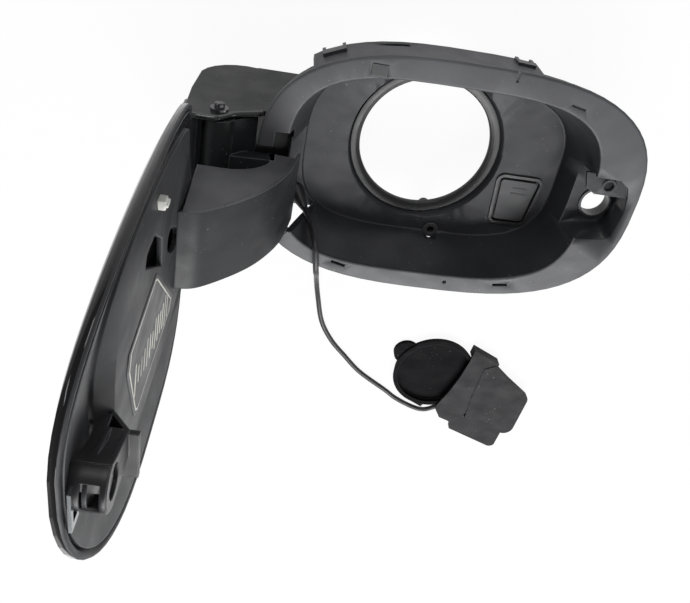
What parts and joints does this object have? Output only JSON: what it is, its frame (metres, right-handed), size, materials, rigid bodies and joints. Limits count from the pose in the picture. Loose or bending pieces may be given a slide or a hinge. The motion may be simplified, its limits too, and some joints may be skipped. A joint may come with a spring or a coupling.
{
  "type": "charging port door housing",
  "caption": "Moulded housing of a vehicle charging port with a hinged painted door, a push button and a tethered cap.",
  "frame": {"origin": "Centre of the round port opening, on the plane of the recess that the seal's lip sits in.", "axes": "+Z outwards through the port opening, along its axis. +X along the long side of the flange, away from the hinge. +Y completes the right-handed frame, towards the flange's top edge."},
  "size_m": [0.3058, 0.3569, 0.3353],
  "materials": {
    "shell_plastic": "satin",
    "gloss_plate": "satin",
    "seal_rubber": "satin",
    "drain_plastic": "satin",
    "button_plastic": "satin",
    "spring_steel": "satin",
    "arm_plastic": "satin",
    "panel_plastic": "satin",
    "door_paint": "satin",
    "pad_foam": "satin",
    "label_paper": "satin",
    "clip_plastic": "satin",
    "grip_plastic": "satin"
  },
  "bodies": {
    "frame": {"housing": "shell_plastic", "hinge_box": "gloss_plate", "port_seal": "seal_rubber", "drain_spout": "drain_plastic", "button_bezel": "shell_plastic", "button_spring": "spring_steel", "button_switch": "shell_plastic", "latch_bush": "button_plastic", "body_clip_left": "spring_steel", "body_clip_right": "spring_steel", "flange_pad": "pad_foam", "hinge_pin": "spring_steel", "pin_clip": "spring_steel", "hinge_spring": "spring_steel", "tether_boot": "seal_rubber", "tether_strap": "seal_rubber", "cap_disc": "seal_rubber", "cap_grip": "grip_plastic"},
    "door": {"hinge_arm": "arm_plastic", "hub_bush_low": "button_plastic", "hub_bush_high": "button_plastic", "door_panel": "panel_plastic", "door_skin": "door_paint", "keeper_bracket": "panel_plastic", "skin_clip": "spring_steel", "edge_clip": "clip_plastic", "label_plate": "label_paper"},
    "button": {"charge_button": "button_plastic"}
  },
  "joints": [
    {"name": "door_hinge", "type": "hinge", "parent": "frame", "child": "door", "pos_m": [-0.13, -0.0155, 0.049], "axis": [0, 1, 0], "range_deg": [0, 92.5]},
    {"name": "button_press", "type": "slide", "parent": "frame", "child": "button", "axis": [0, 0, -1], "range_m": [0, 0.002], "stiffness_N_per_m": 400, "springref_m": -0.002, "deforming": ["button_spring"]}
  ]
}
